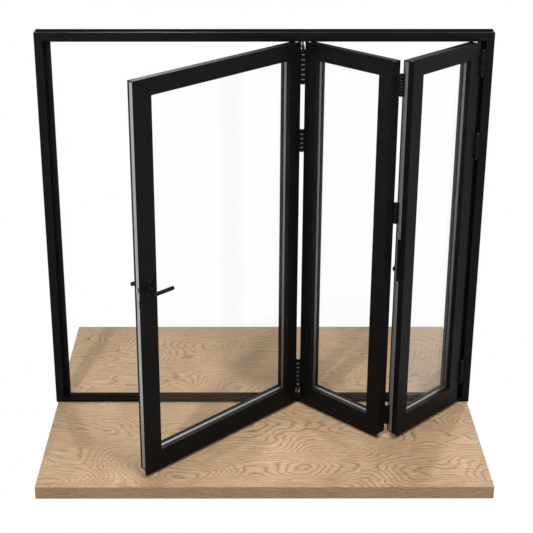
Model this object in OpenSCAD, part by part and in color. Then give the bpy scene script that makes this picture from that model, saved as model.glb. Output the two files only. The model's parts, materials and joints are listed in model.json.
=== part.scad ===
// Aluminium bifold patio door, half open, standing on an oak display plinth.
// X runs along the frame, Y from the viewer to the back, Z up.
// The origin is the middle of the plinth's underside.

/* [Plinth] */
// Width of the oak plinth
plinth_w = 2380; // [2300:10:2400]
// Depth of the oak plinth from front to back
plinth_d = 1866; // [1800:2:2200]
// Thickness of the oak plinth
plinth_h = 69; // [30:1:150]
// How far the frame's middle stands in front of the plinth's middle
frame_forward = 13; // [0:1:40]

/* [Outer frame] */
// Width over the jambs
frame_w = 2400; // [2350:10:2600]
// Height from the plinth to the top of the head
frame_h = 2184; // [2100:2:2400]
// Depth of the head and jambs
frame_d = 72; // [70:1:90]
// Height of the head's front face
head_face_h = 46; // [42:1:60]
// Width of the jambs' front face
jamb_face_w = 41; // [36:1:60]
// How far the jambs' rear stop stands into the opening
jamb_stop = 35; // [16:1:36]
// How far the head's rear stop hangs into the opening
head_stop = 17; // [12:1:26]
// Thickness of the rear stop, front to back
stop_t = 10; // [6:1:12]
// Wall thickness of the hollow profiles
wall_t = 3; // [2:0.5:4]
// Height of the clip fin on top of the head
fin_h = 10.5; // [4:0.5:16]
// Thickness of the clip fin
fin_t = 3; // [2:0.5:4]
// Distance from the front of the head to the fin
fin_y = 38; // [20:1:40]
// How far the fin stops short of the frame's sides
fin_inset = 6; // [2:1:20]

/* [Threshold] */
// Height of the threshold
threshold_h = 20; // [16:1:24]
// Depth of the threshold
threshold_d = 78; // [72:1:84]
// Depth of the guide groove in the threshold
guide_groove_h = 12; // [8:1:13]
// Width of the guide groove
guide_groove_w = 14; // [12:1:18]
// Width of each drainage groove
drain_w = 6; // [4:1:8]
// Depth of each drainage groove
drain_h = 3; // [2:1:6]
// Slope of the threshold's front nose
nose = 6; // [2:1:10]

/* [Running track] */
// Distance from the frame's front to the middle of the track
track_y = 32; // [28:1:34]
// Inside width of the track channel
channel_w = 36; // [32:1:40]
// Inside height of the track channel
channel_h = 28; // [26:1:32]
// Thickness of the lips that carry the wheels
lip_t = 4; // [3:0.5:5]
// Width of the slot between the lips
slot_w = 14; // [13:1:18]

/* [Leaves] */
// Thickness of a leaf
leaf_t = 67; // [64:1:72]
// Thickness of the flange that laps the frame
flange_t = 5; // [3:0.5:8]
// Width of the middle leaf, over its core
middle_leaf_w = 570; // [500:1:600]
// Width of the end leaf, over its core
end_leaf_w = 556.5; // [500:0.5:600]
// Front width of the stiles
stile_w = 80; // [66:1:100]
// Front width of the traffic leaf's lock stile
lock_stile_w = 90; // [80:1:110]
// Height of the top rails
top_rail_h = 78; // [60:1:100]
// Height of the bottom rails
bottom_rail_h = 102; // [80:1:140]
// Depth of the front leg in front of the glass
front_leg_t = 21; // [18:1:24]
// Width of the glazing rebate
rebate_w = 18; // [14:1:20]
// Bevel on the outer edges of the profiles
edge_bevel = 1.5; // [0.5:0.5:2]
// Flange lap beyond the core, top of each leaf
lap_top = 10; // [8:1:14]
// Flange lap beyond the core, bottom of each leaf
lap_bottom = 14; // [10:1:18]
// Flange lap on the traffic leaf's lock side
lap_lock = 22; // [16:1:30]
// Flange lap of the third leaf over the second at the apex
lap_apex = 2; // [1:1:6]
// Flange lap of the second leaf at the apex
lap_second = 2; // [1:1:4]
// Running gap between the core and the head
gap_top = 6; // [4:1:10]
// Running gap between the core and the threshold
gap_bottom = 8; // [6:1:12]
// Gap between the traffic leaf's core and the left jamb when closed
gap_lock = 28.5; // [5:0.5:32]

/* [Glass] */
// Thickness of one pane
pane_t = 4; // [3:1:6]
// Thickness of the sealed double-glazed unit
unit_t = 24; // [20:1:26]
// Thickness of the glazing gaskets
gasket_t = 3; // [2:0.5:4]
// Width of the glazing gaskets
gasket_w = 7; // [5:1:10]
// Gap round the edge of the glass in its rebate
glass_edge_gap = 4; // [2:1:5]
// Bevel on the beads' inner edge
bead_bevel = 6; // [1:1:8]

/* [Pose] */
// Angle of the end leaf from the closed position; the middle leaf's follows from it
end_angle = 44.8; // [34:0.1:50]
// Angle of the traffic leaf from the closed position
traffic_angle = 44; // [30:0.5:50]

/* [Hinges] */
// Radius of the knuckles
knuckle_r = 8; // [6:0.5:8.5]
// Radius of the hinge pins
pin_r = 3.5; // [2.5:0.5:4.5]
// Clearance between a pin and its knuckles
pin_gap = 0.1; // [0.05:0.05:0.2]
// Gap between neighbouring knuckles
knuckle_gap = 1; // [0.5:0.5:2]
// Thickness of the hinge flaps
flap_t = 4; // [3:0.5:5]
// Width of the hinge flaps
flap_w = 34; // [24:1:40]
// Distance of the jamb pivot beyond the end leaf
jamb_end = 10.5; // [9:0.5:14]
// Distance of the track pivot beyond the traffic and middle leaves
track_end = 5.5; // [5.5:0.5:8]
// Distance of these two pivots in front of a leaf
pivot_out = 8.5; // [8.5:0.5:12]
// Distance of the apex pivot beyond the middle and end leaves
apex_end = 8.5; // [8.5:0.5:14]
// Distance of the apex pivot behind a leaf
apex_out = 3; // [1:0.5:10]
// Distance of the jamb pivot from the jamb's inner face
jamb_pivot_gap = 18.5; // [12:0.5:22]
// Distance of the closed leaves' front from the frame's front
closed_proud = 13.5; // [6:0.5:14]
// Distance of the top jamb hinge from the top of the leaves' core
jamb_hinge_drop = 35; // [20:1:200]
// Bottom of the middle jamb hinge, as a share of the leaves' height
jamb_hinge_share = 0.7; // [0.5:0.01:0.75]
// Distance of the bottom jamb hinge from the bottom of the leaves' core
jamb_hinge_low = 110; // [60:1:300]
// Length of the jamb hinges
jamb_hinge_l = 140; // [100:5:150]
// Distance of the top apex hinge from the top of the leaves' core
apex_hinge_drop = 67; // [20:1:200]
// Bottom of the middle apex hinge, as a share of the leaves' height
apex_hinge_share = 0.588; // [0.55:0.001:0.7]
// Distance of the bottom apex hinge from the bottom of the leaves' core
apex_hinge_low = 47; // [30:1:300]
// Length of the apex hinges
apex_hinge_l = 118; // [90:2:140]
// Width of the apex hinges' flap on the end leaf, behind its edge strip
apex_flap_w = 10; // [8:1:20]
// Gap between the knuckles of the apex hinges
apex_knuckle_gap = 2.5; // [0.5:0.5:3]
// Distance of the top track hinge from the top of the leaves' core
track_hinge_drop = 32; // [32:1:200]
// Bottom of the middle track hinge, as a share of the leaves' height
track_hinge_share = 0.719; // [0.5:0.001:0.75]
// Distance of the bottom track hinge from the bottom of the leaves' core
track_hinge_low = 78; // [76:1:300]
// Length of the top and bottom track hinges
track_hinge_l = 186; // [120:2:200]
// Length of the middle track hinge
track_hinge_mid_l = 126; // [100:2:140]

/* [Trolley and guide] */
// Radius of the trolley's steel spindle
spindle_r = 5; // [4:0.5:6]
// Width of the trolley arm and the guide arm
arm_w = 17; // [12:1:18]
// Thickness of the trolley arm and the guide arm
arm_t = 10; // [6:1:12]
// Length of the trolley body
trolley_l = 120; // [80:5:160]
// Radius of the trolley wheels
wheel_r = 10; // [8:0.5:11]
// Width of a trolley wheel
wheel_w = 7; // [5:0.5:8]

/* [Lever and lock] */
// Height of the lever above the frame's foot
lever_z = 1062; // [1000:1:1090]
// Distance of the lever's axis from the core's edge
backset = 36; // [34:1:42]
// Length of the lever's grip from its axis
lever_l = 112; // [100:1:140]
// Radius of the grip
grip_r = 10.5; // [8:0.5:11]
// Radius of the lever's neck
neck_r = 9; // [7:0.5:10]
// Distance of the grip's middle from the leaf's face
lever_out = 55; // [45:1:65]
// Radius of the round roses
rose_r = 24; // [20:1:28]
// Thickness of the round roses
rose_t = 8; // [6:1:10]
// Running clearance of the neck in its rose
rose_gap = 0.05; // [0.02:0.01:0.1]
// Side of the square spindle
square = 8; // [7:1:9]
// Radius of the clearance hole for the square spindle
spindle_hole_r = 7; // [6.5:0.5:8]
// Height of the key cylinder above the lever's axis
cylinder_up = 51; // [46:1:60]
// Radius of the key cylinder's escutcheon
escutcheon_r = 17; // [14:1:20]
// Bottom of the lock's faceplate
lock_plate_z = 901; // [850:1:950]
// Length of the lock's faceplate
lock_plate_l = 291; // [240:1:300]
// Width of the lock's faceplate
lock_plate_w = 22; // [18:1:24]
// Width of the aluminium edge strips
strip_w = 24; // [24:1:30]
// Thickness of the aluminium edge strips
strip_t = 3; // [2:0.5:4]
// Distance of the traffic leaf's edge strip from the leaf's front
strip_y = 30; // [30:1:36]
// Distance of the end leaf's edge strip from the leaf's front
end_strip_y = 36; // [30:1:36]

/* [Folding bolt and buffer] */
// Bottom of the shootbolt faceplate on the third leaf
bolt_plate_z = 943; // [900:1:980]
// Length of the shootbolt faceplate
bolt_plate_l = 238; // [200:1:260]
// Width of the shootbolt faceplate
bolt_plate_w = 34; // [24:1:36]
// Thickness of the shootbolt faceplate
bolt_plate_t = 3; // [2:0.5:4]
// Height of the folding handle's pivot on its faceplate
bolt_handle_up = 175; // [140:1:190]
// Height of the rubber buffer on the back of the third leaf
buffer_z = 1000; // [900:1:1200]
// Radius of the rubber buffer
buffer_r = 15; // [10:1:18]
// Length of the rubber buffer
buffer_l = 16; // [8:1:24]

/* [Frame fixings] */
// Radius of the frame's fixing holes
fixing_r = 4; // [3:0.5:5]
// Height of the lowest fixing hole
fixing_low_z = 360; // [300:10:500]
// Distance of the highest fixing hole below the frame's top
fixing_drop = 324; // [200:2:500]
// Wall of the sleeves round the fixing holes, inside the jambs
fixing_wall = 4; // [3:0.5:6]

/* [Hidden] */
$fn = 48;

// Overlap that keeps a cut from leaving a skin
cut = 1;
front_y = -frame_forward - frame_d / 2;
half_w = frame_w / 2;
inner_x = half_w - jamb_face_w;
core_low = threshold_h + gap_bottom;
core_high = frame_h - head_face_h - gap_top;
core_h = core_high - core_low;
seat_y = front_leg_t + gasket_t;
bead_y = seat_y + unit_t + gasket_t;

// Pivot positions in the plane of the frame, measured from its front.
// The track pivot keeps to the jamb pivot's line, which sets the middle leaf's angle.
function turned(a, p) = [cos(a) * p[0] - sin(a) * p[1], sin(a) * p[0] + cos(a) * p[1]];
fold_depth = leaf_t + apex_out + pivot_out;
end_reach = end_leaf_w + jamb_end + apex_end;
middle_reach = middle_leaf_w + track_end + apex_end;
jamb_pivot = [inner_x - jamb_pivot_gap, -closed_proud - pivot_out];
apex_pivot = jamb_pivot + turned(end_angle, [-end_reach, fold_depth]);
middle_angle = atan2(fold_depth, middle_reach)
    + asin((jamb_pivot[1] - apex_pivot[1]) / norm([middle_reach, fold_depth]));
track_pivot = apex_pivot - turned(-middle_angle, [middle_reach, fold_depth]);
traffic_w = inner_x - gap_lock + jamb_pivot[0] - end_reach - middle_reach - track_end;

// Knuckle heights: [bottom, length, number of knuckles] above the frame's foot
function three_hinges(drop, share, low, l, mid_l, n, mid_n) = [
    [core_high - drop - l, l, n], [core_low + share * core_h, mid_l, mid_n], [core_low + low, l, n]];
jamb_hinges = three_hinges(jamb_hinge_drop, jamb_hinge_share, jamb_hinge_low,
    jamb_hinge_l, jamb_hinge_l, 5, 5);
apex_hinges = three_hinges(apex_hinge_drop, apex_hinge_share, apex_hinge_low,
    apex_hinge_l, apex_hinge_l, 7, 7);
track_hinges = three_hinges(track_hinge_drop, track_hinge_share, track_hinge_low,
    track_hinge_l, track_hinge_mid_l, 7, 5);
track_arm_z = core_high - track_hinge_drop + cut;
guide_arm_z = core_low + track_hinge_low - cut - arm_t;
spindle_top = frame_h - head_face_h + lip_t + 3;

module at_frame() {
    translate([0, front_y, plinth_h]) children();
}

// A leaf's own frame: X along its front from the left end of its core,
// Y from its front to its back, Z up from the bottom of its core.
module at_traffic() {
    at_frame() translate([track_pivot[0], track_pivot[1], core_low])
        rotate([0, 0, traffic_angle]) translate([-traffic_w - track_end, pivot_out, 0]) children();
}

module at_middle() {
    at_frame() translate([track_pivot[0], track_pivot[1], core_low])
        rotate([0, 0, -middle_angle]) translate([track_end, pivot_out, 0]) children();
}

module at_end() {
    at_frame() translate([jamb_pivot[0], jamb_pivot[1], core_low])
        rotate([0, 0, end_angle]) translate([-end_leaf_w - jamb_end, pivot_out, 0]) children();
}

// Seen from the right end of a leaf, with X running inwards
module from_right(w) {
    translate([w, 0, 0]) mirror([1, 0, 0]) children();
}

// PLINTH AND OUTER FRAME

module plinth() {
    color("burlywood") translate([-plinth_w / 2, -plinth_d / 2, 0]) cube([plinth_w, plinth_d, plinth_h]);
}

module threshold() {
    drain_a = (track_y - guide_groove_w / 2) / 2;
    drain_b = track_y + guide_groove_w / 2 + drain_a - nose;
    color("dimgray") at_frame() difference() {
        translate([-inner_x, 0, 0]) rotate([90, 0, 90]) linear_extrude(2 * inner_x) difference() {
            polygon([[0, 0], [threshold_d, 0], [threshold_d, threshold_h - edge_bevel],
                [threshold_d - edge_bevel, threshold_h], [nose, threshold_h], [0, threshold_h - nose]]);
            translate([track_y - guide_groove_w / 2, threshold_h - guide_groove_h])
                square([guide_groove_w, guide_groove_h + cut]);
            for (y = [drain_a, drain_b])
                translate([y, threshold_h - drain_h]) square([drain_w, drain_h + cut]);
        }
        for (side = [-1, 1])
            translate([side * inner_x - jamb_stop, frame_d - stop_t, -cut])
                cube([2 * jamb_stop, threshold_d, threshold_h + 2 * cut]);
    }
}

module head_section() {
    difference() {
        polygon([[edge_bevel, 0], [frame_d, 0], [frame_d, -head_face_h - head_stop],
            [frame_d - stop_t, -head_face_h - head_stop], [frame_d - stop_t, -head_face_h],
            [edge_bevel, -head_face_h], [0, edge_bevel - head_face_h], [0, -edge_bevel]]);
        translate([track_y - channel_w / 2, lip_t - head_face_h]) square([channel_w, channel_h]);
        translate([track_y - slot_w / 2, -head_face_h - cut]) square([slot_w, lip_t + 2 * cut]);
    }
}

module jamb_section() {
    difference() {
        polygon([[edge_bevel, 0], [jamb_face_w - edge_bevel, 0], [jamb_face_w, edge_bevel],
            [jamb_face_w, frame_d - stop_t], [jamb_face_w + jamb_stop, frame_d - stop_t],
            [jamb_face_w + jamb_stop, frame_d], [0, frame_d], [0, edge_bevel]]);
        translate([wall_t, wall_t]) square([jamb_face_w - 2 * wall_t, frame_d - 2 * wall_t]);
    }
}

// Mitre line of the frame's top left corner, from the outside in
frame_mitre = [[-half_w, frame_h], [-inner_x, frame_h - head_face_h],
    [-inner_x + jamb_stop, frame_h - head_face_h - head_stop]];

module face_prism(points, depth) {
    translate([0, depth + cut, 0]) rotate([90, 0, 0]) linear_extrude(depth + 2 * cut) polygon(points);
}

module head() {
    right_mitre = [for (i = [2:-1:0]) [-frame_mitre[i][0], frame_mitre[i][1]]];
    color("black") at_frame() {
        intersection() {
            translate([-half_w, 0, frame_h]) rotate([90, 0, 90]) linear_extrude(frame_w) head_section();
            face_prism(concat(frame_mitre, right_mitre), frame_d);
        }
        translate([fin_inset - half_w, fin_y, frame_h - cut])
            cube([frame_w - 2 * fin_inset, fin_t, fin_h + cut]);
    }
}

// Rods on the axes of the left jamb's fixing holes, reaching past its faces by over
module fixing_rods(r, over) {
    pitch = (frame_h - fixing_drop - fixing_low_z) / 2;
    for (i = [0:2]) translate([-half_w - over, track_y, fixing_low_z + i * pitch])
        rotate([0, 90, 0]) cylinder(h = jamb_face_w + 2 * over, r = r);
}

module jamb() {
    difference() {
        union() {
            intersection() {
                translate([-half_w, 0, 0]) linear_extrude(frame_h) jamb_section();
                face_prism(concat(frame_mitre,
                    [[-inner_x + jamb_stop, -cut], [-half_w, -cut]]), frame_d);
            }
            fixing_rods(fixing_r + fixing_wall, -wall_t / 2);
        }
        fixing_rods(fixing_r, cut);
    }
}

module jamb_left() {
    color("black") at_frame() jamb();
}

module jamb_right() {
    color("black") at_frame() mirror([1, 0, 0]) jamb();
}

// Rubber seals on the front of the rear stop
module frame_gaskets() {
    seal_y = frame_d - stop_t - gasket_t;
    seal_h = frame_h - head_face_h - head_stop - threshold_h - gasket_w;
    color("darkslategray") at_frame() {
        for (side = [0, 1])
            mirror([side, 0, 0]) translate([-inner_x + jamb_stop - gasket_w - 2, seal_y, threshold_h])
                cube([gasket_w, gasket_t, seal_h]);
        translate([-inner_x + jamb_stop, seal_y, frame_h - head_face_h - head_stop + 2])
            cube([2 * (inner_x - jamb_stop), gasket_t, gasket_w]);
    }
}

// LEAF PROFILES

// Section of a leaf bar: first across from the outer edge of the core, then back
function bar_points(w, lap) = [
    [-lap, edge_bevel], [edge_bevel - lap, 0], [w - edge_bevel, 0], [w, edge_bevel],
    [w, front_leg_t], [w - rebate_w, front_leg_t], [w - rebate_w, leaf_t], [0, leaf_t],
    [0, flange_t], [-lap, flange_t]];

// The chamber leaves room for the edge strip's recess
function chamber_points(w) = [
    [strip_t + wall_t, wall_t], [w - rebate_w - wall_t, wall_t],
    [w - rebate_w - wall_t, leaf_t - wall_t], [strip_t + wall_t, leaf_t - wall_t]];

// Corner of a leaf's mitre, from the flange to the glass, for a stile w wide and a rail h high
function corner(lap_side, lap_end, w, h) = concat(
    lap_side > 0 ? [[-lap_side, -lap_end]] : [],
    [[0, 0], [w - rebate_w, h - rebate_w], [w, h]]);
function flip_z(points) = [for (i = [len(points) - 1:-1:0]) [points[i][0], core_h - points[i][1]]];
function flip_x(points, w) = [for (i = [len(points) - 1:-1:0]) [w - points[i][0], points[i][1]]];

module stile(w, lap) {
    intersection() {
        translate([0, 0, -lap_bottom]) linear_extrude(core_h + lap_top + lap_bottom) difference() {
            polygon(bar_points(w, lap));
            polygon(chamber_points(w));
        }
        face_prism(concat(corner(lap, lap_bottom, w, bottom_rail_h),
            flip_z(corner(lap, lap_top, w, top_rail_h))), leaf_t);
    }
}

module rail_bar(w, h, lap_end, lap_a, lap_b) {
    translate([-lap_a, 0, 0]) rotate([90, 0, 90]) linear_extrude(w + lap_a + lap_b) difference() {
        polygon([for (p = bar_points(h, lap_end)) [p[1], p[0]]]);
        polygon([for (p = chamber_points(h)) [p[1], p[0]]]);
    }
}

// Face outline of a rail between its two stiles; lap_a and lap_b are the flanges at its ends
function rail_face(w, h, lap_end, stile_a, stile_b, lap_a, lap_b) = concat(
    lap_a > 0 ? [] : [[0, -lap_end]],
    corner(lap_a, lap_end, stile_a, h),
    flip_x(corner(lap_b, lap_end, stile_b, h), w),
    lap_b > 0 ? [] : [[w, -lap_end]]);

module bottom_rail(w, stile_a, stile_b, lap_a, lap_b) {
    intersection() {
        rail_bar(w, bottom_rail_h, lap_bottom, lap_a, lap_b);
        face_prism(rail_face(w, bottom_rail_h, lap_bottom, stile_a, stile_b, lap_a, lap_b), leaf_t);
    }
}

module top_rail(w, stile_a, stile_b, lap_a, lap_b) {
    translate([0, 0, core_h]) mirror([0, 0, 1]) intersection() {
        rail_bar(w, top_rail_h, lap_top, lap_a, lap_b);
        face_prism(rail_face(w, top_rail_h, lap_top, stile_a, stile_b, lap_a, lap_b), leaf_t);
    }
}

// A ring round the glass: from a to b in from the daylight edge, negative towards the profile
module glazing_ring(w, stile_a, stile_b, outer, inner, t) {
    translate([0, t, 0]) rotate([90, 0, 0]) linear_extrude(t) difference() {
        translate([stile_a - outer, bottom_rail_h - outer])
            square([w - stile_a - stile_b + 2 * outer, core_h - bottom_rail_h - top_rail_h + 2 * outer]);
        translate([stile_a - inner, bottom_rail_h - inner])
            square([w - stile_a - stile_b + 2 * inner, core_h - bottom_rail_h - top_rail_h + 2 * inner]);
    }
}

module panes(w, stile_a, stile_b) {
    edge = rebate_w - glass_edge_gap;
    for (y = [seat_y, seat_y + unit_t - pane_t])
        translate([stile_a - edge, y, bottom_rail_h - edge])
            cube([w - stile_a - stile_b + 2 * edge, pane_t, core_h - bottom_rail_h - top_rail_h + 2 * edge]);
}

module spacer(w, stile_a, stile_b) {
    translate([0, seat_y + pane_t, 0])
        glazing_ring(w, stile_a, stile_b, rebate_w - glass_edge_gap - 1, 0, unit_t - 2 * pane_t);
}

module gasket_pair(w, stile_a, stile_b) {
    for (y = [front_leg_t, seat_y + unit_t])
        translate([0, y, 0]) glazing_ring(w, stile_a, stile_b, gasket_w, 0, gasket_t);
}

// One bead bar in its section, from the rebate to the daylight edge, with its back edge bevelled
function bead_points() = [[-rebate_w, 0], [0, 0], [0, leaf_t - bead_y - bead_bevel],
    [-bead_bevel, leaf_t - bead_y], [-rebate_w, leaf_t - bead_y]];

module bead(w, stile_a, stile_b) {
    day_w = w - stile_a - stile_b;
    day_h = core_h - bottom_rail_h - top_rail_h;
    translate([stile_a + day_w / 2, bead_y, bottom_rail_h + day_h / 2])
        for (turn = [0, 90, 180, 270]) {
            along = turn % 180 == 0 ? day_h : day_w;
            across = turn % 180 == 0 ? day_w : day_h;
            rotate([0, turn, 0]) intersection() {
                translate([-across / 2, 0, -along / 2 - rebate_w])
                    linear_extrude(along + 2 * rebate_w) polygon(bead_points());
                face_prism([[-across / 2, -along / 2], [-across / 2 - rebate_w, -along / 2 - rebate_w],
                    [-across / 2 - rebate_w, along / 2 + rebate_w], [-across / 2, along / 2]], leaf_t);
            }
        }
}

// TRAFFIC LEAF

module lever_bore(r) {
    translate([backset, -cut, lever_z - core_low]) rotate([-90, 0, 0]) cylinder(h = leaf_t + 2 * cut, r = r);
}

module strip_recess(y) {
    translate([-cut, y, -cut]) cube([strip_t + cut, strip_w, core_h + 2 * cut]);
}

module traffic_lock_stile() {
    color("black") at_traffic() difference() {
        stile(lock_stile_w, lap_lock);
        lever_bore(spindle_hole_r);
        strip_recess(strip_y);
    }
}

module traffic_hinge_stile() {
    color("black") at_traffic() from_right(traffic_w) stile(stile_w, 0);
}

module traffic_top_rail() {
    color("black") at_traffic() top_rail(traffic_w, lock_stile_w, stile_w, lap_lock, 0);
}

module traffic_bottom_rail() {
    color("black") at_traffic() bottom_rail(traffic_w, lock_stile_w, stile_w, lap_lock, 0);
}

module traffic_glass() {
    color("lightblue", 0.3) at_traffic() panes(traffic_w, lock_stile_w, stile_w);
}

module traffic_bead() {
    color("black") at_traffic() bead(traffic_w, lock_stile_w, stile_w);
}

// The strip stops short of the leaf's top and bottom by end_gap
module edge_strip(y, end_gap = 6) {
    translate([0, y, end_gap]) cube([strip_t, strip_w, core_h - 2 * end_gap]);
}

module traffic_edge_strip() {
    color("silver") at_traffic() difference() {
        edge_strip(strip_y);
        translate([-cut, strip_y - cut, lock_plate_z - core_low])
            cube([strip_t + 2 * cut, strip_w + 2 * cut, lock_plate_l]);
    }
}

// Faceplate with the latch, the deadbolt and their slots
module lock_faceplate() {
    plate_y = strip_y + (strip_w - lock_plate_w) / 2;
    latch_z = lever_z - core_low;
    color("silver") at_traffic() {
        translate([0, plate_y, lock_plate_z - core_low]) cube([strip_t, lock_plate_w, lock_plate_l]);
        translate([-6, plate_y + 5, latch_z - 12]) cube([6 + cut, 12, 24]);
        translate([-2, plate_y + 5, latch_z - 100]) cube([2 + cut, 12, 40]);
    }
}

// MIDDLE AND END LEAVES

module middle_track_stile() {
    color("black") at_middle() stile(stile_w, 0);
}

module middle_apex_stile() {
    color("black") at_middle() from_right(middle_leaf_w) stile(stile_w, lap_second);
}

module middle_top_rail() {
    color("black") at_middle() top_rail(middle_leaf_w, stile_w, stile_w, 0, lap_second);
}

module middle_bottom_rail() {
    color("black") at_middle() bottom_rail(middle_leaf_w, stile_w, stile_w, 0, lap_second);
}

module middle_glass() {
    color("lightblue", 0.3) at_middle() panes(middle_leaf_w, stile_w, stile_w);
}

module middle_bead() {
    color("black") at_middle() bead(middle_leaf_w, stile_w, stile_w);
}

module end_apex_stile() {
    color("black") at_end() difference() {
        stile(stile_w, lap_apex);
        strip_recess(end_strip_y);
    }
}

module end_jamb_stile() {
    color("black") at_end() from_right(end_leaf_w) stile(stile_w, 0);
}

module end_top_rail() {
    color("black") at_end() top_rail(end_leaf_w, stile_w, stile_w, lap_apex, 0);
}

module end_bottom_rail() {
    color("black") at_end() bottom_rail(end_leaf_w, stile_w, stile_w, lap_apex, 0);
}

module end_glass() {
    color("lightblue", 0.3) at_end() panes(end_leaf_w, stile_w, stile_w);
}

module end_bead() {
    color("black") at_end() bead(end_leaf_w, stile_w, stile_w);
}

module end_edge_strip() {
    color("silver") at_end() edge_strip(end_strip_y);
}

// Spacer bars between the panes of the three sealed units
module glass_spacers() {
    color("silver") {
        at_traffic() spacer(traffic_w, lock_stile_w, stile_w);
        at_middle() spacer(middle_leaf_w, stile_w, stile_w);
        at_end() spacer(end_leaf_w, stile_w, stile_w);
    }
}

module glazing_gaskets() {
    color("darkslategray") {
        at_traffic() gasket_pair(traffic_w, lock_stile_w, stile_w);
        at_middle() gasket_pair(middle_leaf_w, stile_w, stile_w);
        at_end() gasket_pair(end_leaf_w, stile_w, stile_w);
    }
}

// HINGES

// Half of a hinge on the axis at the origin, from z = 0. Its flap lies at flap_at, flap_size.
// The webs join every second knuckle to the flap.
module hinge_half(h, first, gap, flap_at, flap_size, web_at, web_size) {
    pitch = h[1] / h[2];
    difference() {
        union() {
            for (i = [first:2:h[2] - 1]) translate([0, 0, i * pitch + gap / 2]) {
                cylinder(h = pitch - gap, r = knuckle_r);
                translate([web_at[0], web_at[1], 0]) cube([web_size[0], web_size[1], pitch - gap]);
            }
            translate([flap_at[0], flap_at[1], gap / 2]) cube([flap_size[0], flap_size[1], h[1] - gap]);
        }
        translate([0, 0, -cut]) cylinder(h = h[1] + 2 * cut, r = pin_r + pin_gap);
    }
}

// Front hinge half at the right end of a leaf w wide, its axis end beyond the leaf
module front_half(w, end, hinges, first) {
    for (h = hinges) translate([w + end, -pivot_out, h[0] - core_low])
        hinge_half(h, first, knuckle_gap, [-end, pivot_out + 1], [flap_t, flap_w],
            [-end, 0], [flap_t + 1, pivot_out + 1 + cut]);
}

// Apex hinge half at the left end of a leaf; its flap, w wide, stops short of the leaf's back
module apex_half(hinges, first, w) {
    back = apex_out + 4;
    for (h = hinges) translate([-apex_end, leaf_t + apex_out, h[0] - core_low])
        hinge_half(h, first, apex_knuckle_gap, [apex_end - flap_t, -back - w], [flap_t, w],
            [apex_end - flap_t - 1, -back - cut], [flap_t + 1, back + cut]);
}

// The jamb's halves stand out from its inner face on an angled web
module jamb_hinges_frame_side() {
    flap_x = jamb_pivot_gap - flap_t;
    color("black") at_frame() for (h = jamb_hinges)
        translate([jamb_pivot[0], jamb_pivot[1], h[0]]) {
            hinge_half(h, 1, knuckle_gap, [flap_x, -jamb_pivot[1] + edge_bevel], [flap_t, flap_w],
                [0, knuckle_r - flap_t], [jamb_pivot_gap, flap_t]);
            for (i = [1:2:h[2] - 1]) translate([flap_x, knuckle_r - flap_t, (i * h[1] / h[2]) + knuckle_gap / 2])
                cube([flap_t, edge_bevel - jamb_pivot[1] - knuckle_r + flap_t + cut, h[1] / h[2] - knuckle_gap]);
        }
}

module jamb_hinges_leaf_side() {
    color("black") at_end() front_half(end_leaf_w, jamb_end, jamb_hinges, 0);
}

module track_hinges_traffic_side() {
    color("black") at_traffic() front_half(traffic_w, track_end, track_hinges, 0);
}

module track_hinges_middle_side() {
    color("black") at_middle() from_right(0) front_half(0, track_end, track_hinges, 1);
}

module apex_hinges_middle_side() {
    color("black") at_middle() from_right(middle_leaf_w) apex_half(apex_hinges, 0, flap_w);
}

module apex_hinges_end_side() {
    color("black") at_end() apex_half(apex_hinges, 1, apex_flap_w);
}

module pins(pivot, hinges) {
    head_r = knuckle_r - 2;
    for (h = hinges) translate([pivot[0], pivot[1], h[0]]) {
        cylinder(h = h[1], r = pin_r);
        translate([0, 0, h[1]]) cylinder(h = 0.8, r = head_r);
        translate([0, 0, -0.8]) cylinder(h = 0.8, r = head_r);
    }
}

module hinge_pins() {
    color("dimgray") at_frame() {
        pins(jamb_pivot, jamb_hinges);
        pins(apex_pivot, apex_hinges);
        pins(track_pivot, track_hinges);
    }
}

// TROLLEY AND BOTTOM GUIDE

wheel_spread = trolley_l / 2 - wheel_r - 4;
wheel_z = frame_h - head_face_h + lip_t + wheel_r;
wheel_y = channel_w / 2 - wheel_w - 1;

// Arm from the leaves' pivot back to the middle of the track
module pivot_arm(z) {
    reach = track_y - track_pivot[1];
    translate([track_pivot[0], track_pivot[1], z]) difference() {
        union() {
            cylinder(h = arm_t, r = arm_w / 2);
            translate([-arm_w / 2, 0, 0]) cube([arm_w, reach, arm_t]);
            translate([0, reach, 0]) cylinder(h = arm_t, r = arm_w / 2);
        }
        translate([0, reach, -cut]) cylinder(h = arm_t + 2 * cut, r = spindle_r);
    }
}

module trolley() {
    body_w = 2 * wheel_y - 1;
    color("dimgray") at_frame() {
        difference() {
            translate([track_pivot[0] - trolley_l / 2, track_y - body_w / 2, spindle_top])
                cube([trolley_l, body_w, wheel_r + 4]);
            translate([track_pivot[0], track_y, spindle_top - cut]) cylinder(h = 9 + cut, r = spindle_r);
            for (s = [-1, 1]) translate([track_pivot[0] + s * wheel_spread, 0, wheel_z])
                rotate([-90, 0, 0]) cylinder(h = frame_d, r = 2.1);
        }
        pivot_arm(track_arm_z);
    }
}

module trolley_wheels() {
    color("white") at_frame() for (s = [-1, 1])
        translate([track_pivot[0] + s * wheel_spread, track_y, wheel_z]) rotate([-90, 0, 0]) {
            translate([0, 0, wheel_y]) cylinder(h = wheel_w, r = wheel_r);
            translate([0, 0, -wheel_y - wheel_w]) cylinder(h = wheel_w, r = wheel_r);
            translate([0, 0, -wheel_y - cut]) cylinder(h = 2 * (wheel_y + cut), r = 2);
        }
}

// Threaded steel spindle with its lock nut
module trolley_spindle() {
    color("silver") at_frame() translate([track_pivot[0], track_y, 0]) {
        translate([0, 0, track_arm_z]) cylinder(h = spindle_top + 9 - track_arm_z, r = spindle_r);
        translate([0, 0, track_arm_z + arm_t]) cylinder(h = 7, r = 8, $fn = 6);
    }
}

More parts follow.
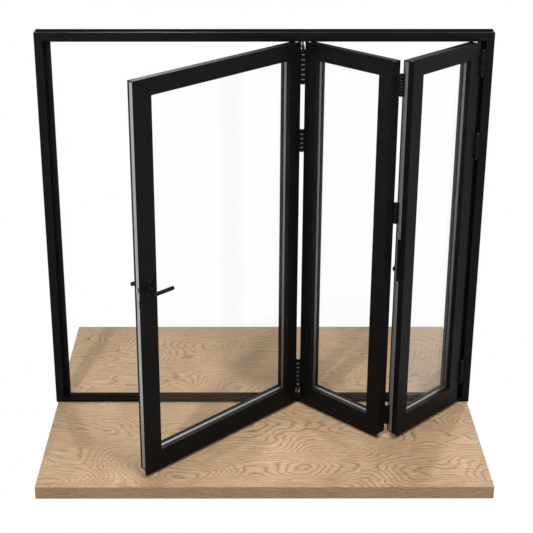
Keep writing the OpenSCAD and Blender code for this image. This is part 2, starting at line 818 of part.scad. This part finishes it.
// Pin and shoe that run in the threshold's groove
module bottom_guide() {
    shoe_w = guide_groove_w - 2;
    shoe_z = threshold_h - guide_groove_h + 1;
    color("dimgray") at_frame() {
        pivot_arm(guide_arm_z);
        translate([track_pivot[0], track_y, shoe_z]) cylinder(h = guide_arm_z + arm_t - shoe_z, r = spindle_r);
        translate([track_pivot[0] - 22, track_y - shoe_w / 2, shoe_z]) cube([44, shoe_w, guide_groove_h - 3]);
    }
}

// LEVER, LOCK AND FOLDING BOLT

module lever_roses() {
    color("black") at_traffic() translate([backset, 0, lever_z - core_low]) {
        for (y = [-rose_t, leaf_t]) translate([0, y, 0]) rotate([-90, 0, 0]) difference() {
            cylinder(h = rose_t, r = rose_r);
            translate([0, 0, -cut]) cylinder(h = rose_t + 2 * cut, r = neck_r + rose_gap);
        }
    }
}

// Lever on the front face; the axis is at the origin, the leaf's face at Y = 0
module lever() {
    difference() {
        union() {
            translate([0, -cut, 0]) rotate([90, 0, 0]) cylinder(h = lever_out - cut, r = neck_r);
            translate([-grip_r, -lever_out, 0]) rotate([0, 90, 0]) cylinder(h = lever_l + grip_r, r = grip_r);
        }
        translate([-square / 2, -rose_t - 12, -square / 2]) cube([square, rose_t + 12 + cut, square]);
    }
}

module at_lever() {
    at_traffic() translate([backset, 0, lever_z - core_low]) children();
}

module lever_inside() {
    color("black") at_lever() lever();
}

module lever_outside() {
    color("black") at_lever() translate([0, leaf_t, 0]) mirror([0, 1, 0]) lever();
}

module lever_spindle() {
    reach = rose_t + 12;
    color("silver") at_lever() translate([-square / 2, -reach, -square / 2])
        cube([square, leaf_t + 2 * reach, square]);
}

// Escutcheon and nose of the key cylinder, on both faces
module key_cylinder() {
    color("black") at_lever() translate([0, 0, cylinder_up])
        for (y = [0, leaf_t]) translate([0, y, 0]) rotate([y == 0 ? 90 : -90, 0, 0]) difference() {
            union() {
                cylinder(h = rose_t - 1, r1 = escutcheon_r, r2 = escutcheon_r - 2);
                cylinder(h = rose_t + 2, r = 8.5);
            }
            translate([-1, -4, rose_t - 2]) cube([2, 8, 6]);
        }
}

module bolt_faceplate() {
    color("black") at_end() translate([-bolt_plate_t, seat_y - 8, bolt_plate_z - core_low])
        cube([bolt_plate_t, bolt_plate_w, bolt_plate_l]);
}

// Short folding handle that drives the shootbolts, folded down on its faceplate
module bolt_handle() {
    color("black") at_end()
        translate([-bolt_plate_t, seat_y - 8 + bolt_plate_w / 2, bolt_plate_z - core_low + bolt_handle_up]) {
            translate([-8, 0, 0]) rotate([0, 90, 0]) cylinder(h = 8, r = 10);
            translate([-8, -5, -60]) cube([5, 10, 60]);
        }
}

// Rubber buffer that keeps the folded leaves apart
module fold_buffer() {
    color("darkslategray") at_end() translate([stile_w / 2 - 20, leaf_t, buffer_z - core_low])
        rotate([-90, 0, 0]) cylinder(h = buffer_l, r = buffer_r);
}

plinth();
threshold();
head();
jamb_left();
jamb_right();
frame_gaskets();
trolley();
trolley_wheels();
trolley_spindle();
bottom_guide();
traffic_lock_stile();
traffic_hinge_stile();
traffic_top_rail();
traffic_bottom_rail();
traffic_glass();
traffic_bead();
middle_track_stile();
middle_apex_stile();
middle_top_rail();
middle_bottom_rail();
middle_glass();
middle_bead();
end_apex_stile();
end_jamb_stile();
end_top_rail();
end_bottom_rail();
end_glass();
end_bead();
glass_spacers();
glazing_gaskets();
traffic_edge_strip();
end_edge_strip();
lock_faceplate();
jamb_hinges_frame_side();
jamb_hinges_leaf_side();
track_hinges_traffic_side();
track_hinges_middle_side();
apex_hinges_middle_side();
apex_hinges_end_side();
hinge_pins();
lever_roses();
key_cylinder();
lever_inside();
lever_outside();
lever_spindle();
bolt_faceplate();
bolt_handle();
fold_buffer();
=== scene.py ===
import json
import math
from collections import namedtuple

import bmesh
import bpy
from mathutils import Matrix, Vector


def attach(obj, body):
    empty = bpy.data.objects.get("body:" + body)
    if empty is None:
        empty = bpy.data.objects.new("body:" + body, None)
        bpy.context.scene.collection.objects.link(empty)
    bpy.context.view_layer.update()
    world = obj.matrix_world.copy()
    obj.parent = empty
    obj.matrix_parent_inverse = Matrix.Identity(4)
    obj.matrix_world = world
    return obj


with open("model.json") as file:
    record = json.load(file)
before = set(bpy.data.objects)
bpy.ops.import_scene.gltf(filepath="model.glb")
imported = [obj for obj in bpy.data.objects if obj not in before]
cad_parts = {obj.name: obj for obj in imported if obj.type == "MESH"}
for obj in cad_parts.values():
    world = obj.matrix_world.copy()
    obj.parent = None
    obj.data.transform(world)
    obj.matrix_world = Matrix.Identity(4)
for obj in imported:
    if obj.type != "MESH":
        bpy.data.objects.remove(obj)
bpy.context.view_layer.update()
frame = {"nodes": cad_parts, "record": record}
scene = bpy.context.scene

# Sizes and places in metres, in the frame's own axes. They repeat those of the part's source.
PLINTH_TOP = 0.069
LEAF_FOOT = 0.028       # from the plinth's top to the bottom of a leaf's core
LEAF_CORE_H = 2.104
STILE_W, LOCK_STILE_W = 0.080, 0.090
BOTTOM_RAIL_H, TOP_RAIL_H = 0.102, 0.078
PIVOT_OUT = 0.0085      # from a pivot to the front plane of its leaf
TRACK_PIVOT = (0.202648, -0.071)
JAMB_PIVOT = (1.1405, -0.071)
TRACK_Y = -0.017        # middle of the track, above which the trolley's spindle stands

# A leaf turns about its pivot; start is where its front begins, measured from the pivot.
Leaf = namedtuple("Leaf", "turn pivot start width left_stile right_stile")
TRAFFIC = Leaf(math.radians(44.0), TRACK_PIVOT, -1.1115, 1.106, LOCK_STILE_W, STILE_W)
MIDDLE = Leaf(math.radians(-44.0729), TRACK_PIVOT, 0.0055, 0.570, STILE_W, STILE_W)
END = Leaf(math.radians(44.8), JAMB_PIVOT, -0.567, 0.5565, STILE_W, STILE_W)

# Shader helpers

NODE_ROW, NODE_STEP = 10, (220, 340)
BASE, ROUGH = "Base Color", "Roughness"


def node(nt, kind, **values):
    """New shader node. The nodes stand in rows, in the order in which they are made."""
    count = len(nt.nodes)
    n = nt.nodes.new(kind)
    n.location = (NODE_STEP[0] * (count % NODE_ROW), -NODE_STEP[1] * (count // NODE_ROW))
    for key, value in values.items():
        setattr(n, key, value)
    return n


def material(name):
    """New material with a Principled shader: the material, its node tree and the shader."""
    m = bpy.data.materials.new(name)
    m.use_nodes = True
    nt = m.node_tree
    nt.nodes.clear()
    out = node(nt, "ShaderNodeOutputMaterial")
    bsdf = node(nt, "ShaderNodeBsdfPrincipled")
    nt.links.new(bsdf.outputs[0], out.inputs["Surface"])
    return m, nt, bsdf


def object_coords(nt):
    return node(nt, "ShaderNodeTexCoord").outputs["Object"]


def mapped(nt, vec, scale, location=(0, 0, 0)):
    """Coordinates stretched by scale, then moved by location."""
    n = node(nt, "ShaderNodeMapping")
    n.inputs["Scale"].default_value = scale
    n.inputs["Location"].default_value = location
    nt.links.new(vec, n.inputs["Vector"])
    return n.outputs["Vector"]


def noise(nt, vec, scale, detail=3.0, rough=0.5):
    n = node(nt, "ShaderNodeTexNoise")
    n.inputs["Scale"].default_value = scale
    n.inputs["Detail"].default_value = detail
    n.inputs["Roughness"].default_value = rough
    nt.links.new(vec, n.inputs["Vector"])
    return n.outputs["Fac"]


def ramp(nt, fac, stops):
    """Colour ramp; stops are (position, colour or grey value)."""
    r = node(nt, "ShaderNodeValToRGB")
    elements = r.color_ramp.elements
    while len(elements) < len(stops):
        elements.new(0.5)
    for element, (position, c) in zip(elements, stops):
        element.position = position
        element.color = (*c, 1) if isinstance(c, (tuple, list)) else (c, c, c, 1)
    nt.links.new(fac, r.inputs["Fac"])
    return r.outputs["Color"]


def rescale(nt, fac, low, high, source=(0.0, 1.0)):
    n = node(nt, "ShaderNodeMapRange")
    for key, value in (("From Min", source[0]), ("From Max", source[1]),
                       ("To Min", low), ("To Max", high)):
        n.inputs[key].default_value = value
    nt.links.new(fac, n.inputs["Value"])
    return n.outputs["Result"]


def math_node(nt, operation, a, b=None):
    """Maths on sockets or plain values."""
    n = node(nt, "ShaderNodeMath", operation=operation)
    for socket, value in zip(n.inputs, (a, b)):
        if isinstance(value, (int, float)):
            socket.default_value = value
        elif value is not None:
            nt.links.new(value, socket)
    return n.outputs[0]


def mixed(nt, blend, fac, a, b):
    """Colour mix of sockets or plain values."""
    n = node(nt, "ShaderNodeMix", data_type="RGBA", blend_type=blend)
    for socket, value in ((n.inputs[0], fac), (n.inputs[6], a), (n.inputs[7], b)):
        if isinstance(value, (int, float)):
            socket.default_value = value
        elif isinstance(value, tuple):
            socket.default_value = (*value, 1)
        else:
            nt.links.new(value, socket)
    return n.outputs[2]


def bump(nt, bsdf, height, strength, distance):
    b = node(nt, "ShaderNodeBump")
    b.inputs["Strength"].default_value = strength
    b.inputs["Distance"].default_value = distance
    nt.links.new(height, b.inputs["Height"])
    nt.links.new(b.outputs["Normal"], bsdf.inputs["Normal"])


# Materials

GREY_STOPS = (0.3, 0.7)  # where noise runs from its dark to its light colour
WHITE = (1.0, 1.0, 1.0)


def two_tone(nt, fac, dark, light):
    return ramp(nt, fac, [(GREY_STOPS[0], dark), (GREY_STOPS[1], light)])


def powder_coat(name, dark, light, rough, gloss=0.075):
    """Satin powder coat: a fine orange peel, a cloudy colour and a smeared sheen."""
    m, nt, bsdf = material(name)
    vec = object_coords(nt)
    cloud = noise(nt, vec, 3.0, 4.0, 0.55)
    smear = noise(nt, vec, 9.0, 3.0, 0.6)
    peel = noise(nt, vec, 2600.0, 2.0, 0.5)
    bsdf.inputs["Specular IOR Level"].default_value = gloss
    nt.links.new(two_tone(nt, cloud, dark, light), bsdf.inputs[BASE])
    nt.links.new(rescale(nt, smear, rough - 0.06, rough + 0.08), bsdf.inputs[ROUGH])
    bump(nt, bsdf, peel, 0.25, 0.00006)
    return m


def metal(name, grey, rough):
    """Drawn bare metal with fine lines; grey is its light colour, the lines are 12% darker."""
    m, nt, bsdf = material(name)
    bsdf.inputs["Metallic"].default_value = 1.0
    lines = noise(nt, mapped(nt, object_coords(nt), (1, 1, 60)), 40.0, 4.0, 0.6)
    nt.links.new(two_tone(nt, lines, [c * (1 - 0.12) for c in grey], grey), bsdf.inputs[BASE])
    nt.links.new(rescale(nt, lines, rough - 0.08, rough + 0.08), bsdf.inputs[ROUGH])
    bump(nt, bsdf, lines, 0.15, 0.00005)
    return m


def rubber(name):
    m, nt, bsdf = material(name)
    speckle = noise(nt, object_coords(nt), 400.0, 3.0, 0.6)
    nt.links.new(two_tone(nt, speckle, 0.003, 0.007), bsdf.inputs[BASE])
    bsdf.inputs[ROUGH].default_value = 0.75
    bsdf.inputs["Specular IOR Level"].default_value = 0.15
    bump(nt, bsdf, speckle, 0.2, 0.0001)
    return m


def nylon(name):
    m, nt, bsdf = material(name)
    speckle = noise(nt, object_coords(nt), 200.0)
    nt.links.new(two_tone(nt, speckle, (0.62, 0.62, 0.60), (0.72, 0.72, 0.70)),
                 bsdf.inputs[BASE])
    bsdf.inputs[ROUGH].default_value = 0.5
    return m


# Oak: colours, the half width of a veneer leaf and how many growth rings a metre has.
OAK_EARLY = (0.660, 0.462, 0.286)
OAK_LATE = (0.235, 0.140, 0.074)
FIBRE_DARK = (0.58, 0.53, 0.46)
PORE_DARK = (0.36, 0.29, 0.22)
TONE_DARK = (0.80, 0.78, 0.76)
LEAF_HALF = 0.235
LEAF_SHIFT = 5.03        # puts the seams between the leaves and keeps the distance positive
LEAF_DRIFT = 0.12        # how far a leaf's middle line wanders
RINGS = 88.0
RING_WOBBLE = 0.9
CUT_DEPTH = (0.015, 0.30)  # how far the surface lies from the tree's heart
RING_STOPS = [(0.0, 0.25), (0.14, 0.80), (0.35, 1.0), (0.80, 0.92), (1.0, 0.25)]


def oak(name):
    """Flat-sawn oak veneer: growth rings cut by the surface, so that arches lie along X
    over each leaf's middle line and straight grain beside it, with fibres and pores."""
    m, nt, bsdf = material(name)
    obj = object_coords(nt)
    xyz = node(nt, "ShaderNodeSeparateXYZ")
    nt.links.new(obj, xyz.inputs[0])

    # The rings: distance from the heart, from the place across the leaf and the depth of the cut.
    slow = mapped(nt, obj, (1.0, 0.35, 0.35))
    drift = noise(nt, slow, 0.9, 2.0, 0.5)
    side = math_node(nt, "ADD", xyz.outputs["Y"], rescale(nt, drift, -LEAF_DRIFT, LEAF_DRIFT))
    leaf = math_node(nt, "PINGPONG", math_node(nt, "ADD", side, LEAF_SHIFT), LEAF_HALF)
    deep = noise(nt, mapped(nt, obj, (1.35, 2.2, 1.0), (3.1, 1.7, 0.0)), 0.95, 1.5, 0.4)
    depth = math_node(nt, "ADD", rescale(nt, deep, *CUT_DEPTH, source=(0.25, 0.75)),
                      xyz.outputs["Z"])
    radius = math_node(nt, "SQRT", math_node(nt, "ADD", math_node(nt, "MULTIPLY", leaf, leaf),
                                             math_node(nt, "MULTIPLY", depth, depth)))
    wobble = noise(nt, mapped(nt, obj, (2.5, 9.0, 9.0)), 2.0, 3.0, 0.5)
    rings = math_node(nt, "ADD", math_node(nt, "MULTIPLY", radius, RINGS),
                      rescale(nt, wobble, -RING_WOBBLE, RING_WOBBLE))
    line = ramp(nt, math_node(nt, "FRACT", rings), RING_STOPS)
    fade = ramp(nt, drift, [(0.35, 0.55), (0.6, 1.0)])
    wood = mixed(nt, "MIX", line, OAK_LATE, OAK_EARLY)
    wood = mixed(nt, "MIX", fade, OAK_EARLY, wood)

    # Fibres, pores and a slow change of tone darken it.
    fibre = noise(nt, mapped(nt, obj, (1.6, 55.0, 55.0)), 7.0, 5.0, 0.62)
    wood = mixed(nt, "MULTIPLY", 1.0, wood, ramp(nt, fibre, [(0.32, FIBRE_DARK), (0.60, WHITE)]))
    pores = noise(nt, mapped(nt, obj, (14.0, 260.0, 260.0)), 3.0, 2.0, 0.5)
    wood = mixed(nt, "MULTIPLY", 0.6, wood, ramp(nt, pores, [(0.34, PORE_DARK), (0.43, WHITE)]))
    tone = noise(nt, slow, 2.6, 3.0, 0.5)
    wood = mixed(nt, "MULTIPLY", 1.0, wood, two_tone(nt, tone, TONE_DARK, WHITE))

    nt.links.new(wood, bsdf.inputs[BASE])
    nt.links.new(rescale(nt, fibre, 0.66, 0.52), bsdf.inputs[ROUGH])
    bsdf.inputs["Specular IOR Level"].default_value = 0.25
    bump(nt, bsdf, fibre, 0.2, 0.0005)
    return m


GLASS_MIRROR = 0.009     # part of the light that a glass face mirrors head on
GLASS_SLANT = 0.35       # what is added at a grazing angle


def glass(name):
    """Thin clear float glass: light goes straight through, and a little more is mirrored
    at a slant."""
    m, nt, bsdf = material(name)
    out = next(n for n in nt.nodes if n.type == "OUTPUT_MATERIAL")
    nt.nodes.remove(bsdf)
    haze = noise(nt, object_coords(nt), 1.3, 2.0, 0.5)
    clear = node(nt, "ShaderNodeBsdfTransparent")
    nt.links.new(two_tone(nt, haze, (0.996, 0.998, 0.999), (0.999, 1.0, 1.0)),
                 clear.inputs["Color"])
    mirror = node(nt, "ShaderNodeBsdfGlossy")
    mirror.inputs["Color"].default_value = (0.98, 0.99, 1.0, 1)
    mirror.inputs["Roughness"].default_value = 0.02
    facing = node(nt, "ShaderNodeLayerWeight")
    facing.inputs["Blend"].default_value = 0.5
    steep = math_node(nt, "POWER", facing.outputs["Facing"], 4.0)
    slant = math_node(nt, "ADD", math_node(nt, "MULTIPLY", steep, GLASS_SLANT), GLASS_MIRROR)
    mix = node(nt, "ShaderNodeMixShader")
    for socket, value in zip(mix.inputs, (slant, clear.outputs[0], mirror.outputs[0])):
        nt.links.new(value, socket)
    nt.links.new(mix.outputs[0], out.inputs["Surface"])
    return m


MATS = {
    "oak": oak("oak"),
    "frame_black": powder_coat("frame_black", 0.0030, 0.0050, 0.40),
    "threshold_black": powder_coat("threshold_black", 0.0030, 0.0050, 0.60, gloss=0.03),
    "leaf_black": powder_coat("leaf_black", 0.0028, 0.0048, 0.42),
    "clear_glass": glass("clear_glass"),
    "spacer_aluminium": metal("spacer_aluminium", (0.20, 0.20, 0.205), 0.42),
    "seal_rubber": rubber("seal_rubber"),
    "strip_aluminium": metal("strip_aluminium", (0.38, 0.38, 0.385), 0.45),
    "bright_steel": metal("bright_steel", (0.42, 0.42, 0.42), 0.30),
    "hinge_black": powder_coat("hinge_black", 0.0030, 0.0050, 0.38, gloss=0.09),
    "pin_steel": metal("pin_steel", (0.30, 0.30, 0.30), 0.32),
    "lever_black": powder_coat("lever_black", 0.0035, 0.0055, 0.34, gloss=0.13),
    "trolley_metal": powder_coat("trolley_metal", 0.008, 0.012, 0.40, gloss=0.11),
    "wheel_nylon": nylon("wheel_nylon"),
}
slot_of = {s["node"]: s["material_slot"] for s in frame["record"]["subparts"]}
for name, obj in frame["nodes"].items():
    for s in obj.material_slots:
        s.material = MATS[slot_of[name]]
    if not obj.material_slots:
        obj.data.materials.append(MATS[slot_of[name]])

# Small pieces


def leaf_matrix(leaf, u, v, z):
    """Frame at (u, v, z) of a leaf: X along its front, Y to its back, z above its core's foot."""
    x, y = leaf.pivot
    return (Matrix.Translation((x, y, PLINTH_TOP + LEAF_FOOT + z))
            @ Matrix.Rotation(leaf.turn, 4, "Z")
            @ Matrix.Translation((leaf.start + u, PIVOT_OUT + v, 0)))


def lathe(bm, matrix, profile, segments=32):
    """Solid of revolution about matrix's Z. The profile holds (radius, height) points; a point
    of radius 0 closes it on the axis."""
    angles = [2 * math.pi * i / segments for i in range(segments)]
    rows = []
    for r, h in profile:
        ring = [(0, 0)] if r == 0 else [(r * math.cos(a), r * math.sin(a)) for a in angles]
        rows.append([bm.verts.new(matrix @ Vector((x, y, h))) for x, y in ring])
    for low, high in zip(rows, rows[1:]):
        for i in range(segments):
            j = (i + 1) % segments
            if len(low) == 1:
                bm.faces.new((low[0], high[j], high[i]))
            elif len(high) == 1:
                bm.faces.new((low[i], low[j], high[0]))
            else:
                bm.faces.new((low[i], low[j], high[j], high[i]))


def piece(name, bm, slot, body="door"):
    """Turn bm into an object that rides on a body and takes its finish from a slot."""
    bmesh.ops.recalc_face_normals(bm, faces=bm.faces)
    mesh = bpy.data.meshes.new(name)
    bm.to_mesh(mesh)
    bm.free()
    obj = bpy.data.objects.new(name, mesh)
    scene.collection.objects.link(obj)
    mesh.materials.append(MATS[slot])
    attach(obj, body)


# The track hinges: height of the foot above the plinth, length, knuckles, washer radius.
# The photograph shows bright washers only at the top one, so the others' are kept small.
TRACK_HINGES = ((1.914, 0.186, 7, 0.0097), (1.540776, 0.126, 5, 0.0088),
                (0.106, 0.186, 7, 0.0088))
WASHER_HOLE, WASHER_HALF = 0.0037, 0.0004


def track_washers():
    """Light washers in the gaps between the track hinges' knuckles."""
    bm = bmesh.new()
    for low, length, count, reach in TRACK_HINGES:
        chamfer = reach - WASHER_HALF
        profile = [(WASHER_HOLE, -WASHER_HALF), (chamfer, -WASHER_HALF), (reach, 0.0),
                   (chamfer, WASHER_HALF), (WASHER_HOLE, WASHER_HALF), (WASHER_HOLE, -WASHER_HALF)]
        for i in range(1, count):
            place = (*TRACK_PIVOT, PLINTH_TOP + low + i * length / count)
            lathe(bm, Matrix.Translation(place), profile)
    piece("track_hinge_washers", bm, "wheel_nylon")


# Screws: how far back on the leaf's edge, and their heights above the foot of its core.
SCREWS = ((TRAFFIC, 0.042, (0.15, 0.60, 1.32, 1.70, 2.02)), (TRAFFIC, 0.042, (0.885, 1.152)),
          (END, 0.048, (0.25, 0.70, 1.48, 1.78)))
SCREW_PROFILE = [(0, -0.0003), (0.0039, -0.0003), (0.0042, 0.0001), (0.0038, 0.0006),
                 (0.0022, 0.0009), (0.0013, 0.0009), (0.0009, 0.0002), (0, 0.0002)]


def edge_screws():
    """Raised screw heads in the two edge strips and the lock's faceplate."""
    bm = bmesh.new()
    face_out = Matrix.Rotation(math.radians(-90), 4, "Y")
    for leaf, v, heights in SCREWS:
        for z in heights:
            lathe(bm, leaf_matrix(leaf, 0, v, z) @ face_out, SCREW_PROFILE, 24)
    piece("edge_screws", bm, "bright_steel")


THREAD_PITCH, THREAD_CREST, THREAD_ROOT, THREAD_TURNS = 0.00175, 0.0056, 0.0049, 16
THREAD_FOOT = 2.1195     # above the plinth's top


def spindle_thread():
    """Thread on the trolley's spindle, between its nut and the track."""
    bm = bmesh.new()
    profile = [(0, 0), (THREAD_ROOT, 0)]
    for i in range(THREAD_TURNS):
        profile += [(THREAD_CREST, (i + 0.45) * THREAD_PITCH),
                    (THREAD_CREST, (i + 0.55) * THREAD_PITCH),
                    (THREAD_ROOT, (i + 1) * THREAD_PITCH)]
    profile += [(0, THREAD_TURNS * THREAD_PITCH)]
    place = (TRACK_PIVOT[0], TRACK_Y, PLINTH_TOP + THREAD_FOOT)
    lathe(bm, Matrix.Translation(place), profile, 28)
    piece("spindle_thread", bm, "bright_steel")


# Bead lips: how far they reach into the beads and into the daylight, their back and front, and
# their small bevel.
LIP_HIDDEN, LIP_PROUD, LIP_BACK, LIP_FRONT, LIP_BEVEL = 0.0055, 0.0025, 0.0668, 0.0602, 0.0006
LIP_SECTION = ((LIP_HIDDEN, LIP_FRONT), (LIP_HIDDEN, LIP_BACK), (-LIP_PROUD + LIP_BEVEL, LIP_BACK),
               (-LIP_PROUD, LIP_BACK - LIP_BEVEL), (-LIP_PROUD, LIP_FRONT))


def bead_lips():
    """Mitred lips that square the beads' back inner edges and stand a little into the daylight."""
    bm = bmesh.new()
    for leaf in (TRAFFIC, MIDDLE, END):
        rings = []
        for grow, v in LIP_SECTION:
            x0, x1 = leaf.left_stile - grow, leaf.width - leaf.right_stile + grow
            z0, z1 = BOTTOM_RAIL_H - grow, LEAF_CORE_H - TOP_RAIL_H + grow
            rings.append([bm.verts.new(leaf_matrix(leaf, x, v, z).translation)
                          for x, z in ((x0, z0), (x1, z0), (x1, z1), (x0, z1))])
        for a, b in zip(rings, rings[1:] + rings[:1]):
            for i in range(4):
                j = (i + 1) % 4
                bm.faces.new((a[i], a[j], b[j], b[i]))
    piece("bead_lips", bm, "leaf_black")


track_washers()
edge_screws()
spindle_thread()
bead_lips()

# Camera, fitted to the corners of the frame and the plinth in the photograph
cam = bpy.data.cameras.new("camera")
cam.sensor_width = 36
cam.lens = 85.475
cam.shift_x = 0.03396
cam.shift_y = -0.08349
cam.clip_end = 60
cam_obj = bpy.data.objects.new("camera", cam)
cam_obj.location = (-0.0910, -6.5179, 3.7593)
cam_obj.rotation_euler = (math.radians(90 - 21.616), 0, math.radians(-0.075))
scene.collection.objects.link(cam_obj)
scene.camera = cam_obj

# Light and backdrop: the world is white wherever it is seen, in mirrors too, and lights the
# part only weakly.
DIFFUSE_SKY, SEEN_SKY = 0.14, 1.0
world = bpy.data.worlds.new("studio")
scene.world = world
world.use_nodes = True
nt = world.node_tree
nt.nodes.clear()
out = node(nt, "ShaderNodeOutputWorld")


def background(strength):
    b = node(nt, "ShaderNodeBackground")
    b.inputs["Color"].default_value = (1, 1, 1, 1)
    b.inputs["Strength"].default_value = strength
    return b.outputs[0]


path = node(nt, "ShaderNodeLightPath")
seen = path.outputs["Is Camera Ray"]
for ray in ("Is Transmission Ray", "Is Glossy Ray"):
    seen = math_node(nt, "MAXIMUM", seen, path.outputs[ray])
choice = node(nt, "ShaderNodeMixShader")
for socket, value in zip(choice.inputs, (seen, background(DIFFUSE_SKY), background(SEEN_SKY))):
    nt.links.new(value, socket)
nt.links.new(choice.outputs[0], out.inputs["Surface"])

# The lamps: place, the point that they face, side of the square and watts.
LAMPS = {
    "front_left": ((-2.0, -4.1, 4.4), (0.1, 0.1, 0.1), 0.25, 155),
    "front_right": ((3.0, -4.4, 3.6), (0.2, -0.2, 0.1), 0.8, 84),
    "back_left": ((-3.2, 5.6, 3.9), (0.3, -0.6, 0.1), 0.3, 78),
    "back_right": ((3.2, 4.6, 4.0), (0.2, -0.2, 0.1), 0.3, 105),
    "back_middle": ((-0.9, 3.8, 4.4), (0.2, -0.6, 0.1), 0.3, 44),
    "left": ((-4.6, -2.0, 1.5), (0.2, -0.6, 0.1), 0.5, 8),
    "top": ((0.9, -1.9, 5.2), (0.6, -1.1, 0), 1.4, 112),
}
for name, (at, target, size, power) in LAMPS.items():
    light = bpy.data.lights.new(name, "AREA")
    light.energy = power
    light.shape = "SQUARE"
    light.size = size
    obj = bpy.data.objects.new(name, light)
    obj.location = at
    obj.rotation_euler = (Vector(target) - Vector(at)).to_track_quat("-Z", "Y").to_euler()
    scene.collection.objects.link(obj)

scene.view_settings.view_transform = "Standard"
# A line of sight can pass twelve glass faces, in the three leaves seen from the side.
scene.cycles.transparent_max_bounces = 24
